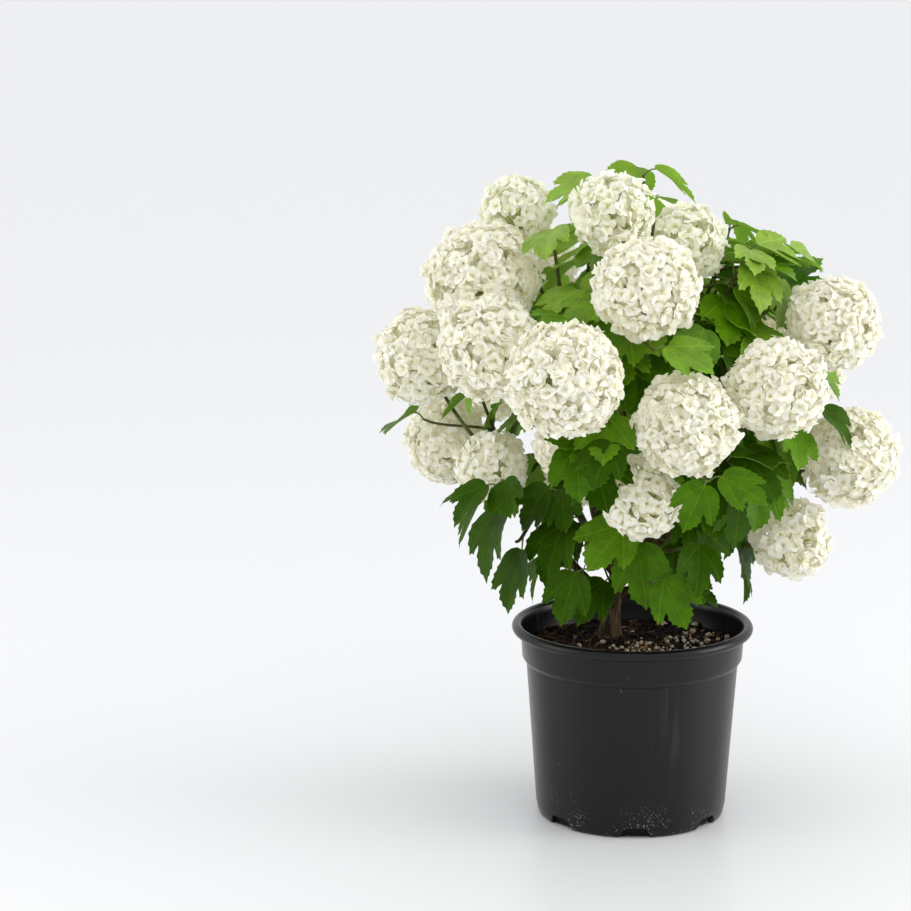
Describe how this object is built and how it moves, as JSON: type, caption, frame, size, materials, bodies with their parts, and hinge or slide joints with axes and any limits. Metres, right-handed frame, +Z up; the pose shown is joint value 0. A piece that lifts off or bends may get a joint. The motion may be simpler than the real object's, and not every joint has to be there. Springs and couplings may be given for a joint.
{
  "type": "potted snowball viburnum shrub",
  "caption": "Bushy flowering shrub with round cream-white flower heads over lobed green leaves, growing from a short trunk in a round black nursery pot.",
  "frame": {"origin": "centre of the pot's flat underside", "axes": "+Z up, the plant's front faces -Y, +X to its right as seen from the front"},
  "size_m": [0.4905, 0.4809, 0.6292],
  "materials": {
    "pot_plastic": "satin black, lightly scuffed",
    "soil": "damp peat and bark mix with pale perlite grains",
    "bark": "grey-brown bark",
    "young_bark": "green-brown young bark",
    "foliage": "fresh green leaves and cream-white blossom"
  },
  "bodies": {
    "root": {"pot": "pot_plastic", "potting_soil": "soil", "trunk": "bark", "bough_front_left": "young_bark", "bough_front_low": "young_bark", "bough_front_right": "young_bark", "bough_right": "young_bark", "bough_right_low": "young_bark", "bough_top_front": "young_bark", "bough_top_right": "young_bark", "bough_top_left": "young_bark", "bough_left": "young_bark", "bough_back_left": "young_bark", "bough_back": "young_bark", "bough_back_right": "young_bark", "foliage_front_left": "foliage", "foliage_front_low": "foliage", "foliage_front_right": "foliage", "foliage_right": "foliage", "foliage_right_low": "foliage", "foliage_top_front": "foliage", "foliage_top_right": "foliage", "foliage_top_left": "foliage", "foliage_left": "foliage", "foliage_back_left": "foliage", "foliage_back": "foliage", "foliage_back_right": "foliage"}
  },
  "joints": []
}
